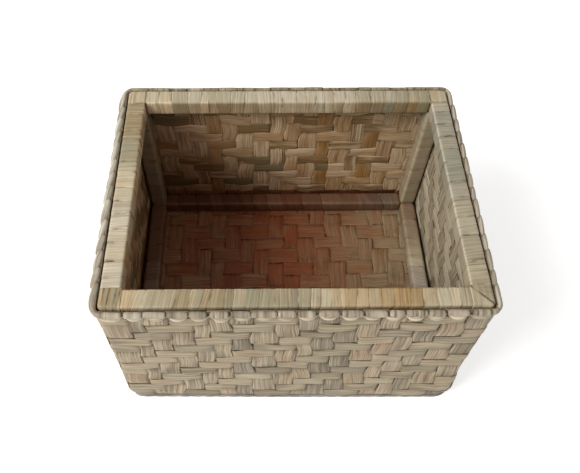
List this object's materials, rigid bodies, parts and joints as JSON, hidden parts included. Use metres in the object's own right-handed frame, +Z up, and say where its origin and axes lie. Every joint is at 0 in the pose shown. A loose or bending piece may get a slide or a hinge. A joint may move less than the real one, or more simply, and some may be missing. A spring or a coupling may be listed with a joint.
{
  "type": "woven storage box",
  "caption": "Open rectangular storage box of twill-woven leaf strip over an inner frame of leaf-wound battens, with a twined border and a woven base.",
  "frame": {"origin": "centre of the footprint, on the floor under the woven base", "axes": "+X along the long side, to the right as seen from the front; +Y towards the back; +Z up"},
  "size_m": [0.3122, 0.2422, 0.178],
  "materials": {
    "batten_wood": "plain sawn softwood",
    "weft_leaf": "satin dried leaf strip",
    "stake_leaf": "satin dried leaf strip",
    "border_leaf": "satin dried leaf strand",
    "cord_leaf": "matt dried leaf cord",
    "base_leaf": "satin dried leaf strip",
    "rim_leaf": "satin dried leaf strip",
    "inner_leaf": "satin dried leaf strip"
  },
  "bodies": {
    "root": {"border_strand_first": "border_leaf", "border_strand_second": "border_leaf", "corner_patch_back_left": "rim_leaf", "corner_patch_back_right": "rim_leaf", "corner_patch_front_left": "rim_leaf", "corner_patch_front_right": "rim_leaf", "foot_batten_back": "batten_wood", "foot_batten_front": "batten_wood", "foot_batten_left": "batten_wood", "foot_batten_right": "batten_wood", "foot_cord": "cord_leaf", "foot_winding_back": "inner_leaf", "foot_winding_front": "inner_leaf", "foot_winding_left": "inner_leaf", "foot_winding_right": "inner_leaf", "post_batten_back_left": "batten_wood", "post_batten_back_right": "batten_wood", "post_batten_front_left": "batten_wood", "post_batten_front_right": "batten_wood", "post_winding_back_left": "inner_leaf", "post_winding_back_right": "inner_leaf", "post_winding_front_left": "inner_leaf", "post_winding_front_right": "inner_leaf", "rim_batten_back": "batten_wood", "rim_batten_front": "batten_wood", "rim_batten_left": "batten_wood", "rim_batten_right": "batten_wood", "rim_winding_back": "rim_leaf", "rim_winding_front": "rim_leaf", "rim_winding_left": "rim_leaf", "rim_winding_right": "rim_leaf", "stakes_back": "stake_leaf", "stakes_front": "stake_leaf", "stakes_left": "stake_leaf", "stakes_right": "stake_leaf", "weft_01": "weft_leaf", "weft_02": "weft_leaf", "weft_03": "weft_leaf", "weft_04": "weft_leaf", "weft_05": "weft_leaf", "weft_06": "weft_leaf", "weft_07": "weft_leaf", "weft_08": "weft_leaf", "weft_09": "weft_leaf", "weft_10": "weft_leaf", "weft_11": "weft_leaf", "weft_12": "weft_leaf", "weft_13": "weft_leaf", "woven_base": "base_leaf"}
  },
  "joints": []
}
